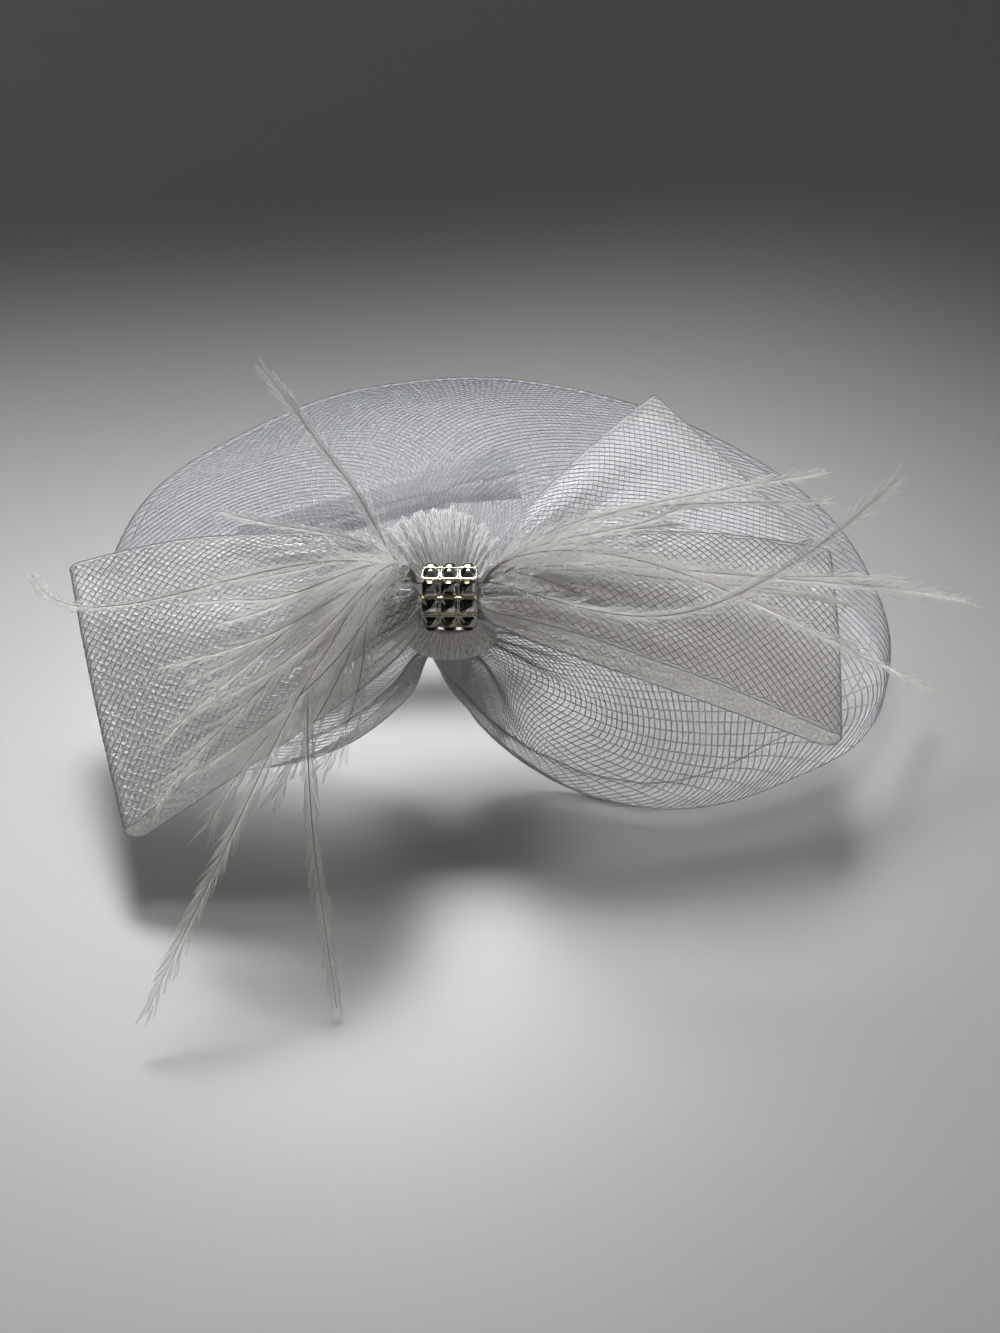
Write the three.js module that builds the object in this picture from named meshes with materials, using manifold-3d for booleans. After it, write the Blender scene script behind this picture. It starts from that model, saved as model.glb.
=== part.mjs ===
import * as THREE from "three";
import { mergeVertices } from "three/addons/utils/BufferGeometryUtils.js";
import Module from "manifold-3d";

const wasm = await Module();
wasm.setup();

// A feather fascinator that lies on a table: a hollow dome of white crinoline gathered at its front,
// three folded crinoline loops, a ring of cut stones that ties them, feathers and a hair clip inside.
// Millimetres, +Z up, +X to the right as seen from the front, +Y to the back.
// The modelling frame has the knot's axis over the origin and the table at z = 0.

// Driving dimensions
const knotHeight = 48;
const clearance = 0.3;
const bodyReach = 130;
const bodyWall = 1.2;
const bodyPuff = 16;
const shoulderHeight = 14;
const shoulderRadius = 7;
const turnedEdge = 6;
const gatherDepth = 1.3;
const gatherCount = 12;
const gatherReach = 62;
const loopReach = 100;
const loopWall = 0.9;
const loopFoldRadius = 3.5;
const loopBelly = 6;
const loopCrown = 7;
const loopDroop = 2;
const pleatDepth = 1.1;
const stonePitch = 4.5;
const stoneRows = 10;
const stoneColumns = 3;
const stoneSize = 4.1;
const stoneHeight = 1.2;
const tableShare = 0.52;
const cornerCut = 0.9;
const stripWall = 0.8;
const featherThickness = 1.1;
const featherLength = 110;
const featherLift = 11;
const featherSway = 20;
const vaneWidth = 6;
const clipLength = 78;
const clipWidth = 8;
const clipPlate = 1;
const clipPinDiameter = 2;
const clipTailShare = 0.28;
const clipTailSpread = 9;
const clipTeeth = 6;

// Values worked out from them
const stripApothem = stonePitch / 2 / Math.tan(Math.PI / stoneRows);
const ringInner = stripApothem - stripWall;
const ringOuter = stripApothem + stoneHeight;
const pinchHeight = knotHeight - ringOuter - 2 * clearance - bodyWall / 2;

const cloth = { color: 0xf1f2f5, roughness: 0.55, metalness: 0, side: THREE.DoubleSide };
const clothMaterial = () => new THREE.MeshStandardMaterial(cloth);
const featherMaterial = () => new THREE.MeshStandardMaterial({ color: 0xe9e6df, roughness: 0.8 });
const stoneMaterial = () => new THREE.MeshStandardMaterial({ color: 0x8d9492, roughness: 0.1, metalness: 0.7 });
const clipMaterial = () => new THREE.MeshStandardMaterial({ color: 0x6c6f76, roughness: 0.35, metalness: 0.9 });

const degrees = (value) => (value * Math.PI) / 180;
const smooth = (t) => t * t * (3 - 2 * t);
const clamp = (t) => Math.min(1, Math.max(0, t));
const mix = (a, b, t) => a + (b - a) * t;

// A geometry with shared corners merged and collapsed faces dropped.
function closed(positions, faces) {
  const loose = new THREE.BufferGeometry();
  loose.setAttribute("position", new THREE.Float32BufferAttribute(positions, 3));
  loose.setIndex(faces);
  const merged = mergeVertices(loose, 1e-4);
  const kept = [];
  for (let k = 0; k < merged.index.count; k += 3) {
    const [a, b, c] = [0, 1, 2].map((step) => merged.index.getX(k + step));
    if (a !== b && b !== c && c !== a) kept.push(a, b, c);
  }
  merged.setIndex(kept);
  merged.computeVertexNormals();
  return merged;
}

function toSolid(geometry) {
  const bare = geometry.clone();
  bare.deleteAttribute("normal");
  bare.deleteAttribute("uv");
  const merged = mergeVertices(bare, 1e-4);
  return new wasm.Manifold(
    new wasm.Mesh({
      numProp: 3,
      vertProperties: merged.attributes.position.array,
      triVerts: new Uint32Array(merged.index.array),
    }),
  );
}

function toGeometry(solid) {
  const mesh = solid.getMesh();
  const positions = [];
  for (let k = 0; k < mesh.numVert; k += 1) {
    positions.push(...mesh.vertProperties.subarray(k * mesh.numProp, k * mesh.numProp + 3));
  }
  return closed(positions, [...mesh.triVerts]);
}

function joined(geometries) {
  return toGeometry(geometries.map(toSolid).reduce((sum, next) => sum.add(next)));
}

// A wall of even thickness about a grid of points. grid[i][j] has i around or along and j across;
// the outer face is the one from which i and j turn anticlockwise. fixedNormal(i, j) may give a normal.
function wallAbout(grid, thickness, around, fixedNormal = () => null) {
  const rows = grid.length;
  const columns = grid[0].length;
  const at = (i, j) => grid[around ? (i + rows) % rows : i][j];
  const spans = around ? rows : rows - 1;
  const normals = grid.map((line) => line.map(() => new THREE.Vector3()));
  for (let i = 0; i < spans; i += 1) {
    for (let j = 0; j + 1 < columns; j += 1) {
      const across = at(i + 1, j + 1).clone().sub(at(i, j));
      const other = at(i, j + 1).clone().sub(at(i + 1, j));
      const normal = across.cross(other);
      const length = normal.length();
      if (length > 1e-9) normal.divideScalar(length);
      for (const [di, dj] of [[0, 0], [1, 0], [0, 1], [1, 1]]) {
        normals[(i + di) % rows][j + dj].add(normal);
      }
    }
  }
  const positions = [];
  for (const side of [0.5, -0.5]) {
    grid.forEach((line, i) =>
      line.forEach((point, j) => {
        const normal = fixedNormal(i, j) ?? normals[i][j].normalize();
        positions.push(...point.clone().addScaledVector(normal, side * thickness).toArray());
      }),
    );
  }
  const inner = rows * columns;
  const index = (i, j) => (around ? i % rows : i) * columns + j;
  const faces = [];
  const quad = (a, b, c, d) => faces.push(a, b, c, a, c, d);
  for (let i = 0; i < spans; i += 1) {
    for (let j = 0; j + 1 < columns; j += 1) {
      const [a, b, c, d] = [index(i, j), index(i + 1, j), index(i + 1, j + 1), index(i, j + 1)];
      quad(a, b, c, d);
      quad(inner + d, inner + c, inner + b, inner + a);
    }
    const last = columns - 1;
    quad(index(i + 1, 0), index(i, 0), inner + index(i, 0), inner + index(i + 1, 0));
    quad(index(i, last), index(i + 1, last), inner + index(i + 1, last), inner + index(i, last));
  }
  if (!around) {
    for (let j = 0; j + 1 < columns; j += 1) {
      const end = rows - 1;
      quad(index(0, j), index(0, j + 1), inner + index(0, j + 1), inner + index(0, j));
      quad(index(end, j + 1), index(end, j), inner + index(end, j), inner + index(end, j + 1));
    }
  }
  return closed(positions, faces);
}

// The dome's rays run from the pinch under the knot to the rim. Each row: bearing in degrees, reach as
// a share of bodyReach, shoulder above the foot as a share of shoulderHeight, foot as a share of the
// pinch's height (the notch arches up from the table) and puff as a share of bodyPuff.
const bodyRows = [
  { bearing: -134, reach: 0.06, shoulder: 0.05, foot: 0.86, puff: 0 },
  { bearing: -112, reach: 0.055, shoulder: 0.1, foot: 0.76, puff: 0 },
  { bearing: -71, reach: 0.088, shoulder: 0.25, foot: 0.54, puff: 0.05 },
  { bearing: -53, reach: 0.137, shoulder: 0.35, foot: 0.36, puff: 0.1 },
  { bearing: -44, reach: 0.18, shoulder: 0.4, foot: 0.24, puff: 0.2 },
  { bearing: -36.6, reach: 0.236, shoulder: 0.45, foot: 0.11, puff: 0.15 },
  { bearing: -31, reach: 0.33, shoulder: 0.5, foot: 0, puff: 0.15 },
  { bearing: -26, reach: 0.455, shoulder: 0.55, foot: 0, puff: 0.12 },
  { bearing: -18.7, reach: 0.567, shoulder: 0.7, foot: 0, puff: 0.1 },
  { bearing: -10, reach: 0.68, shoulder: 0.9, foot: 0, puff: 0.1 },
  { bearing: -1, reach: 0.82, shoulder: 1, foot: 0, puff: 0.1 },
  { bearing: 8, reach: 0.91, shoulder: 1.1, foot: 0, puff: 0.1 },
  { bearing: 20, reach: 0.98, shoulder: 1.3, foot: 0, puff: 0.1 },
  { bearing: 35, reach: 1.02, shoulder: 1.8, foot: 0, puff: 0.15 },
  { bearing: 52, reach: 1.01, shoulder: 2.3, foot: 0, puff: 0.35 },
  { bearing: 70, reach: 1.01, shoulder: 2.6, foot: 0, puff: 0.75 },
  { bearing: 88, reach: 1.02, shoulder: 2.7, foot: 0, puff: 1 },
  { bearing: 106, reach: 0.99, shoulder: 2.7, foot: 0, puff: 1 },
  { bearing: 123, reach: 0.96, shoulder: 2.4, foot: 0, puff: 0.8 },
  { bearing: 139, reach: 0.93, shoulder: 2.1, foot: 0, puff: 0.45 },
  { bearing: 153, reach: 0.86, shoulder: 1.6, foot: 0, puff: 0.2 },
  { bearing: 167, reach: 0.76, shoulder: 1.2, foot: 0, puff: 0.1 },
  { bearing: 180, reach: 0.64, shoulder: 0.9, foot: 0, puff: 0.1 },
  { bearing: 191, reach: 0.49, shoulder: 0.7, foot: 0, puff: 0.12 },
  { bearing: 194, reach: 0.355, shoulder: 0.5, foot: 0.04, puff: 0.12 },
  { bearing: 197, reach: 0.237, shoulder: 0.45, foot: 0.2, puff: 0.15 },
  { bearing: 203, reach: 0.125, shoulder: 0.35, foot: 0.54, puff: 0.05 },
  { bearing: 212, reach: 0.085, shoulder: 0.15, foot: 0.8, puff: 0 },
];
// How a ray falls to its shoulder: nearly straight where it has no puff, late where it is round.
const flatFall = 1.3;
const roundFall = 2.3;
const bodySteps = 2;
const topSteps = 9;
// The puff's top leans inward, and the gathers fade towards gatherReach.
const puffLean = 0.85;
const gatherFade = 1.5;
// The rim's section as shares: the rounded shoulder, the wall's waist and the turned edge.
const cornerShare = 0.25;
const cornerBlend = 0.3;
const waistShare = 0.35;
const turnedShare = 0.35;
const edgeBlend = 0.15;

// A smooth curve through values that stays between each two neighbours.
function through(values, place) {
  const here = Math.floor(place);
  const t = place - here;
  const [a, b, c, d] = [-1, 0, 1, 2].map((step) => values(here + step));
  const curve = b + 0.5 * t * (c - a + t * (2 * a - 5 * b + 4 * c - d + t * (3 * (b - c) + d - a)));
  return Math.max(Math.min(curve, Math.max(b, c)), Math.min(b, c));
}

// A column of the dome's table at a place counted in rows, which goes round: a full turn adds 360 degrees.
function bodyValue(column, place) {
  const count = bodyRows.length;
  const values = (k) => {
    const turns = Math.floor(k / count);
    return bodyRows[k - turns * count][column] + (column === "bearing" ? 360 * turns : 0);
  };
  return through(values, place);
}

// One ray of the dome's middle surface, from the pinch to its turned edge, as [out, height] pairs.
function bodyRay(place) {
  const bearing = bodyValue("bearing", place);
  const reach = bodyReach * bodyValue("reach", place);
  const foot = pinchHeight * bodyValue("foot", place) + bodyWall / 2;
  const shoulder = foot + shoulderHeight * bodyValue("shoulder", place);
  const puff = bodyValue("puff", place);
  const fall = mix(flatFall, roundFall, puff);
  const corner = Math.min(shoulderRadius, (shoulder - foot) / 2, reach * cornerShare);
  const ray = [];
  for (let step = 0; step <= topSteps; step += 1) {
    const t = step / topSteps;
    const out = (reach - corner) * t;
    const away = clamp((out - ringOuter) / ringOuter);
    const fade = clamp(1 - out / gatherReach) ** gatherFade * smooth(away);
    const wave = gatherDepth * fade * Math.cos(degrees(bearing) * gatherCount);
    const free = clamp((out - ringOuter) / (reach - corner - ringOuter));
    const rise = puff * bodyPuff * Math.sin(Math.PI * free ** puffLean);
    ray.push([out, mix(pinchHeight, shoulder, t ** fall) + rise + wave]);
  }
  ray.push([reach - corner * cornerBlend, shoulder - corner * cornerBlend]);
  ray.push([reach, shoulder - corner]);
  ray.push([reach, mix(foot, shoulder - corner, waistShare)]);
  const turned = Math.min(turnedEdge, reach * turnedShare);
  ray.push([reach - turned * edgeBlend, foot]);
  ray.push([reach - turned, foot]);
  return { bearing, ray };
}

function crinBody() {
  const grid = [];
  for (let k = 0; k < bodyRows.length * bodySteps; k += 1) {
    const { bearing, ray } = bodyRay(k / bodySteps);
    const [across, back] = [Math.cos(degrees(bearing)), Math.sin(degrees(bearing))];
    grid.push(ray.map(([out, height]) => new THREE.Vector3(out * across, out * back, height)));
  }
  const edge = grid[0].length - 2;
  const up = new THREE.Vector3(0, 0, 1);
  const down = new THREE.Vector3(0, 0, -1);
  // The turned edge lies flat on the table, and the pinch is level.
  const known = (i, j) => {
    if (j === 0) return up;
    return j >= edge ? down : null;
  };
  return wallAbout(grid.reverse(), bodyWall, true, known);
}

// The loops. Each row: the side of the knot, the fold's back and front corners as a bearing, a share of
// loopReach and a share of knotHeight, the two slots in the ring as shares of its inner radius, and how
// much of the belly, the crown and the droop of the edges this loop has.
const loopRows = [
  {
    name: "loop_left", side: -1,
    back: { bearing: 166, reach: 1, height: 0.83 },
    front: { bearing: 213, reach: 0.865, height: 0.35 },
    upperSlot: 0.33, lowerSlot: -0.3, belly: 0.6, crown: 0.86, droop: 1,
  },
  {
    name: "loop_right", side: 1,
    back: { bearing: 14.5, reach: 0.98, height: 0.92 },
    front: { bearing: -15, reach: 0.95, height: 0.52 },
    upperSlot: 0.33, lowerSlot: 0.02, belly: 0.5, crown: 1, droop: 1,
  },
  {
    name: "loop_back", side: 1,
    back: { bearing: 57.5, reach: 1.02, height: 1.08 },
    front: { bearing: 24, reach: 1.04, height: 0.68 },
    upperSlot: -0.36, lowerSlot: -0.6, belly: 0.15, crown: 0.29, droop: 0,
  },
];
const loopSteps = 8;
const loopAcross = 12;
const foldSteps = 4;
const pleatCount = 3;
// How early a loop spreads from the ring, tilts to its fold and swells.
const spread = 0.6;
const tiltShare = 0.5;
const swellLean = 0.8;

const ringHalf = (stonePitch * stoneColumns) / 2;

function placeAt({ bearing, reach, height }) {
  const [across, back] = [Math.cos(degrees(bearing)), Math.sin(degrees(bearing))];
  return new THREE.Vector3(loopReach * reach * across, loopReach * reach * back, knotHeight * height);
}

// The half width that a wall in a slot of the ring may have.
function slotHalf(slot) {
  const height = Math.abs(slot) * ringInner + loopWall / 2;
  return Math.sqrt(ringInner ** 2 - height ** 2) - 2 * clearance;
}

function loopGrid(row) {
  const back = placeAt(row.back);
  const front = placeAt(row.front);
  const endHalf = back.clone().sub(front).multiplyScalar(0.5);
  const endCentre = back.clone().add(front).multiplyScalar(0.5);
  const slots = [row.upperSlot, row.lowerSlot].map((slot) => slot * ringInner);
  const startX = row.side * (ringHalf + 2 * clearance);
  const start = new THREE.Vector3(startX, 0, knotHeight + (slots[0] + slots[1]) / 2);
  const startHalf = Math.min(slotHalf(row.upperSlot), slotHalf(row.lowerSlot));
  const outward = endCentre.clone().sub(start).normalize();
  const foldNormal = endHalf.clone().cross(outward).normalize();
  if (foldNormal.z < 0) foldNormal.negate();
  const startApart = (slots[0] - slots[1]) / 2;
  const up = new THREE.Vector3(0, 0, 1);
  // A point at s from the knot to the fold, w across, and apart above or below the middle of the loop.
  const point = (s, w, layer) => {
    const normal = up.clone().lerp(foldNormal, smooth(clamp(s / tiltShare))).normalize();
    const half = new THREE.Vector3(0, startHalf, 0).lerp(endHalf, s ** spread);
    const swell = Math.sin(Math.PI * s ** swellLean);
    const apart = mix(startApart, loopFoldRadius, s) + loopBelly * row.belly * swell;
    const pleat = pleatDepth * Math.cos(Math.PI * pleatCount * w) * Math.sin(Math.PI * Math.sqrt(s)) ** 2;
    const crown = loopCrown * row.crown * swell;
    const droop = loopDroop * row.droop * w * w * s;
    const lift = crown - droop + pleat + layer * apart;
    return start.clone().lerp(endCentre, s).addScaledVector(half, w).addScaledVector(normal, lift);
  };
  const grid = [];
  const line = (make) => {
    const points = [];
    for (let k = 0; k <= loopAcross; k += 1) points.push(make((2 * k) / loopAcross - 1));
    grid.push(points);
  };
  const inRing = (slot) => (w) =>
    new THREE.Vector3(row.side * 2 * clearance, w * startHalf, knotHeight + slot);
  line(inRing(slots[0]));
  for (let k = 0; k <= loopSteps; k += 1) line((w) => point(k / loopSteps, w, 1));
  for (let k = 1; k < foldSteps; k += 1) {
    const turn = (Math.PI * k) / foldSteps;
    line((w) => {
      const upper = point(1, w, 1);
      const lower = point(1, w, -1);
      const middle = upper.clone().add(lower).multiplyScalar(0.5);
      const reachOut = loopFoldRadius * Math.sin(turn);
      return middle.lerp(upper, Math.cos(turn)).addScaledVector(outward, reachOut);
    });
  }
  for (let k = loopSteps; k >= 0; k -= 1) line((w) => point(k / loopSteps, w, -1));
  line(inRing(slots[1]));
  return grid;
}

function loop(row) {
  const grid = loopGrid(row);
  return wallAbout(row.side > 0 ? grid : grid.reverse(), loopWall, false);
}

// The ring: a strip bent into ten flats with a square cut stone set on each of its thirty seats.
function stone() {
  const half = stoneSize / 2;
  const corners = [
    [half, half - cornerCut], [half - cornerCut, half], [cornerCut - half, half], [-half, half - cornerCut],
    [-half, cornerCut - half], [cornerCut - half, -half], [half - cornerCut, -half], [half, cornerCut - half],
  ];
  const positions = [];
  for (const [height, share] of [[-stripWall / 2, 1], [0, 1], [stoneHeight, tableShare]]) {
    for (const [x, y] of corners) positions.push(x * share, y * share, height);
  }
  const faces = [];
  const count = corners.length;
  for (const level of [0, count]) {
    for (let k = 0; k < count; k += 1) {
      const next = (k + 1) % count;
      faces.push(level + k, level + next, level + count + next);
      faces.push(level + k, level + count + next, level + count + k);
    }
  }
  for (let k = 1; k + 1 < count; k += 1) {
    faces.push(0, k + 1, k);
    faces.push(2 * count, 2 * count + k, 2 * count + k + 1);
  }
  return closed(positions, faces);
}

function rhinestoneBand() {
  const outline = new THREE.Shape();
  const bore = new THREE.Path();
  for (let k = 0; k < stoneRows; k += 1) {
    const turn = (2 * Math.PI * (k + 0.5)) / stoneRows;
    const corner = (apothem) => {
      const radius = apothem / Math.cos(Math.PI / stoneRows);
      return new THREE.Vector2(radius * Math.cos(turn), radius * Math.sin(turn));
    };
    outline[k ? "lineTo" : "moveTo"](...corner(stripApothem).toArray());
    bore[k ? "lineTo" : "moveTo"](...corner(ringInner).toArray());
  }
  outline.closePath();
  bore.closePath();
  outline.holes.push(bore);
  const strip = new THREE.ExtrudeGeometry(outline, { depth: 2 * ringHalf, bevelEnabled: false });
  // The strip's axis comes from Z to X.
  strip.translate(0, 0, -ringHalf).rotateY(Math.PI / 2);
  const pieces = [strip];
  for (let row = 0; row < stoneRows; row += 1) {
    for (let column = 0; column < stoneColumns; column += 1) {
      const seated = stone().translate((column + 0.5) * stonePitch - ringHalf, 0, stripApothem);
      pieces.push(seated.rotateX((2 * Math.PI * row) / stoneRows));
    }
  }
  return joined(pieces);
}

// The feathers. Each row: the heading from the ring in degrees, the reach as a share of featherLength,
// the tip's height as a share of knotHeight, the rise at the middle as a share of featherLift, the bend
// to the left of the heading as a share of featherSway, and the vane's width as a share of vaneWidth.
const featherRows = {
  feathers_left: [
    { heading: 129.7, reach: 0.55, tip: 1.75, lift: 0.2, sway: -0.25, vane: 0.8 },
    { heading: 159.5, reach: 0.46, tip: 1.25, lift: 1, sway: 0.2, vane: 0.7 },
    { heading: 168.2, reach: 0.96, tip: 0.77, lift: 1.87, sway: 1.89, vane: 0.7 },
    { heading: 188.7, reach: 0.484, tip: 1.08, lift: 1.34, sway: 0.79, vane: 1 },
    { heading: 202, reach: 0.57, tip: 0.9, lift: 1.08, sway: 0.66, vane: 1 },
    { heading: 221, reach: 0.55, tip: 0.94, lift: 1.49, sway: 0.62, vane: 1 },
    { heading: 228.9, reach: 0.746, tip: 0.81, lift: 0.6, sway: 0.05, vane: 1.2 },
    { heading: 224.7, reach: 0.643, tip: 0.685, lift: 1.05, sway: 0.72, vane: 1 },
    { heading: 239.3, reach: 0.987, tip: 0.157, lift: 0.8, sway: 0.16, vane: 0.6 },
    { heading: 261, reach: 0.806, tip: 0.03, lift: 0.7, sway: -0.64, vane: 0.7 },
  ],
  feathers_right: [
    { heading: 21.5, reach: 0.86, tip: 1.27, lift: 0.82, sway: 0.13, vane: 0.8 },
    { heading: 17.9, reach: 0.85, tip: 1.13, lift: 0.87, sway: 0.31, vane: 0.7 },
    { heading: 26.5, reach: 0.57, tip: 1.2, lift: 1, sway: -0.4, vane: 0.7 },
    { heading: -7.2, reach: 0.834, tip: 1.8, lift: 0.6, sway: -1.23, vane: 1 },
    { heading: 8.6, reach: 1.154, tip: 0.693, lift: 0.9, sway: -0.63, vane: 1 },
    { heading: 4.4, reach: 1.067, tip: 0.2, lift: 1.8, sway: -0.97, vane: 1 },
  ],
};
const featherSteps = 12;
const earlyRise = 0.65;
const featherTurn = 70;
const headSlot = 0.7;
const headThickness = 1.7;
const quillShare = 0.35;
const tipShare = 0.15;
const taperShare = 1 / 3;
const quillInset = 0.5;

function featherPath(row, side) {
  const start = new THREE.Vector3(side * (ringHalf + featherThickness), 0, knotHeight + headSlot * ringInner);
  const along = new THREE.Vector3(Math.cos(degrees(row.heading)), Math.sin(degrees(row.heading)), 0);
  const left = new THREE.Vector3(-along.y, along.x, 0);
  const tip = knotHeight * row.tip;
  // A feather that leaves across the ring's axis first runs out of the ring and then turns.
  const turnOut = featherTurn * (1 - side * along.x);
  const path = [start.clone().setX(side * ringHalf * quillInset)];
  for (let step = 0; step <= featherSteps; step += 1) {
    const t = step / featherSteps;
    const point = start.clone().addScaledVector(along, featherLength * row.reach * t);
    point.addScaledVector(left, featherSway * row.sway * Math.sin(Math.PI * t));
    point.x += side * turnOut * t * (1 - t) ** 3;
    point.z = mix(start.z, tip, t * t) + featherLift * row.lift * Math.sin(Math.PI * t ** earlyRise);
    path.push(point);
  }
  return path;
}

// A feather's outer form: a strip of rhombic section that widens from the quill and narrows to the tip.
function featherStrip(row, side) {
  const path = featherPath(row, side);
  const last = path.length - 1;
  const positions = [];
  path.forEach((point, k) => {
    const tangent = path[Math.min(k + 1, last)].clone().sub(path[Math.max(k - 1, 0)]).normalize();
    const across = new THREE.Vector3(-tangent.y, tangent.x, 0).normalize();
    const normal = tangent.clone().cross(across);
    const t = k / last;
    const widening = mix(quillShare, 1, smooth(clamp(t / taperShare)));
    const narrowing = mix(tipShare, 1, smooth(clamp((1 - t) / taperShare)));
    const share = widening * narrowing;
    const half = (vaneWidth / 2) * row.vane * share;
    const rise = (featherThickness / 2) * mix(1, 2 * tipShare, t ** 3);
    for (const [sideways, upward] of [[half, 0], [0, rise], [-half, 0], [0, -rise]]) {
      const corner = point.clone().addScaledVector(across, sideways).addScaledVector(normal, upward);
      positions.push(...corner.toArray());
    }
  });
  const faces = [];
  for (let k = 0; k < last; k += 1) {
    for (let side4 = 0; side4 < 4; side4 += 1) {
      const [a, b] = [4 * k + side4, 4 * k + ((side4 + 1) % 4)];
      faces.push(a, b, b + 4, a, b + 4, a + 4);
    }
  }
  const end = 4 * last;
  faces.push(0, 2, 1, 0, 3, 2, end, end + 1, end + 2, end, end + 2, end + 3);
  return closed(positions, faces);
}

function feathers(name, side) {
  const reach = headSlot * ringInner + headThickness / 2;
  const half = Math.sqrt(ringInner ** 2 - reach ** 2) - 2 * clearance;
  const length = ringHalf + clearance;
  const head = new THREE.BoxGeometry(length, 2 * half, headThickness);
  head.translate(side * (length / 2 + 2 * clearance), 0, knotHeight + headSlot * ringInner);
  return joined([head, ...featherRows[name].map((row) => featherStrip(row, side))]);
}

// The hair clip hangs under the dome's roof: a straight upper arm, a toothed jaw on a pin and two tails.
const clipPlace = { bearing: 113, reach: 0.44, heading: 193 };
const earHalf = 3;
const pinDrop = 4;
const knuckleRadius = 2;
const toothHeight = 0.8;
const toothPitch = 3;
const toothShare = 0.35;
const jawBend = 0.5;
const padStart = 0.55;
const padSpread = 1.4;
const roofMargin = 1.2;
const roundSides = 16;

// The lowest point of the dome's underside within a clip's width of a place.
function roofOver(x, y) {
  let lowest = Infinity;
  for (let k = 0; k < bodyRows.length * bodySteps; k += 1) {
    const { bearing, ray } = bodyRay(k / bodySteps);
    for (const [out, height] of ray.slice(0, topSteps + 1)) {
      const across = out * Math.cos(degrees(bearing)) - x;
      const back = out * Math.sin(degrees(bearing)) - y;
      if (Math.hypot(across, back) < clipWidth * roofMargin) lowest = Math.min(lowest, height - bodyWall / 2);
    }
  }
  return lowest;
}

const clipTail = clipLength * clipTailShare;
const clipReach = clipLength - clipTail;

// The clip's own frame: x from the pin to the jaw's tip, z up, and the upper arm's top face at z = 0.
function clipFrame() {
  const heading = degrees(clipPlace.heading);
  const along = new THREE.Vector3(Math.cos(heading), Math.sin(heading), 0);
  const middle = new THREE.Vector3(
    bodyReach * clipPlace.reach * Math.cos(degrees(clipPlace.bearing)),
    bodyReach * clipPlace.reach * Math.sin(degrees(clipPlace.bearing)),
    0,
  );
  const tip = middle.clone().addScaledVector(along, clipLength / 2);
  const tail = middle.clone().addScaledVector(along, -clipLength / 2);
  tip.z = roofOver(tip.x, tip.y) - clearance;
  tail.z = roofOver(tail.x, tail.y) - clearance;
  const x = tip.clone().sub(tail).normalize();
  const y = new THREE.Vector3(0, 0, 1).cross(x).normalize();
  const frame = new THREE.Matrix4().makeBasis(x, y, x.clone().cross(y));
  return frame.setPosition(tail.addScaledVector(x, clipTail));
}

// A plate with the given outline in the clip's x and z, as wide as stated, about the clip's middle.
function plate(outline, width, middle = 0) {
  const shape = new THREE.Shape(outline.map(([x, z]) => new THREE.Vector2(x, z)));
  const geometry = new THREE.ExtrudeGeometry(shape, { depth: width, bevelEnabled: false });
  return geometry.translate(0, 0, -width / 2).rotateX(Math.PI / 2).translate(0, middle, 0);
}

function crossways(radius, length) {
  return new THREE.CylinderGeometry(radius, radius, length, roundSides);
}

const pinRadius = clipPinDiameter / 2;
const earPlace = clipWidth / 2 + clearance + clipPlate / 2;

function pinBore() {
  return crossways(pinRadius + clearance, 4 * clipWidth).translate(0, 0, -pinDrop);
}

function clipBase() {
  const armOutline = [[-clipTail, -clipPlate], [clipReach, -clipPlate], [clipReach, 0], [-clipTail, 0]];
  const arm = plate(armOutline, clipWidth);
  const bridge = plate([[-earHalf, -clipPlate], [earHalf, -clipPlate], [earHalf, 0], [-earHalf, 0]],
    2 * earPlace + clipPlate);
  const padEnd = -clipTail * padStart;
  const padOutline = [[-clipTail, -clipPlate], [padEnd, -clipPlate], [padEnd, 0], [-clipTail, 0]];
  const pad = plate(padOutline, clipWidth * padSpread);
  const low = -pinDrop - clipPinDiameter;
  const ears = [-1, 1].map((side) =>
    plate([[-earHalf / 2, low], [earHalf / 2, low], [earHalf, 0], [-earHalf, 0]], clipPlate, side * earPlace));
  const body = [arm, bridge, pad, ...ears].map(toSolid).reduce((sum, next) => sum.add(next));
  const bore = pinBore();
  return toGeometry(body.subtract(toSolid(bore)));
}

function clipPin() {
  return crossways(pinRadius, 2 * earPlace + clipPlate).translate(0, 0, -pinDrop);
}

function clipJaw() {
  const under = -pinDrop - knuckleRadius;
  const bend = clipReach * jawBend;
  const bite = -clipPlate - clearance - toothHeight;
  const tailEnd = -clipPlate - clipTailSpread;
  const outline = [
    [-clipTail, tailEnd - clipPlate], [-earHalf, under - clipPlate / 2], [bend, under - clipPlate / 2],
    [clipReach, bite - clipPlate], [clipReach, bite], [bend, under + clipPlate / 2],
    [-earHalf, under + clipPlate / 2], [-clipTail, tailEnd],
  ];
  const width = clipWidth - clipPlate;
  const teeth = [];
  for (let k = 0; k < clipTeeth; k += 1) {
    const place = clipReach - toothPitch * (k + 0.5);
    const slope = (bite - under - clipPlate / 2) / (clipReach - bend);
    const foot = bite - slope * (clipReach - place);
    const half = toothPitch * toothShare;
    teeth.push(plate([[place - half, foot - clipPlate / 2], [place + half, foot - clipPlate / 2],
      [place, foot + toothHeight]], width));
  }
  const knuckle = crossways(knuckleRadius, width).translate(0, 0, -pinDrop);
  const body = [plate(outline, width), knuckle, ...teeth].map(toSolid).reduce((sum, next) => sum.add(next));
  const bore = pinBore();
  return toGeometry(body.subtract(toSolid(bore)));
}

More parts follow.
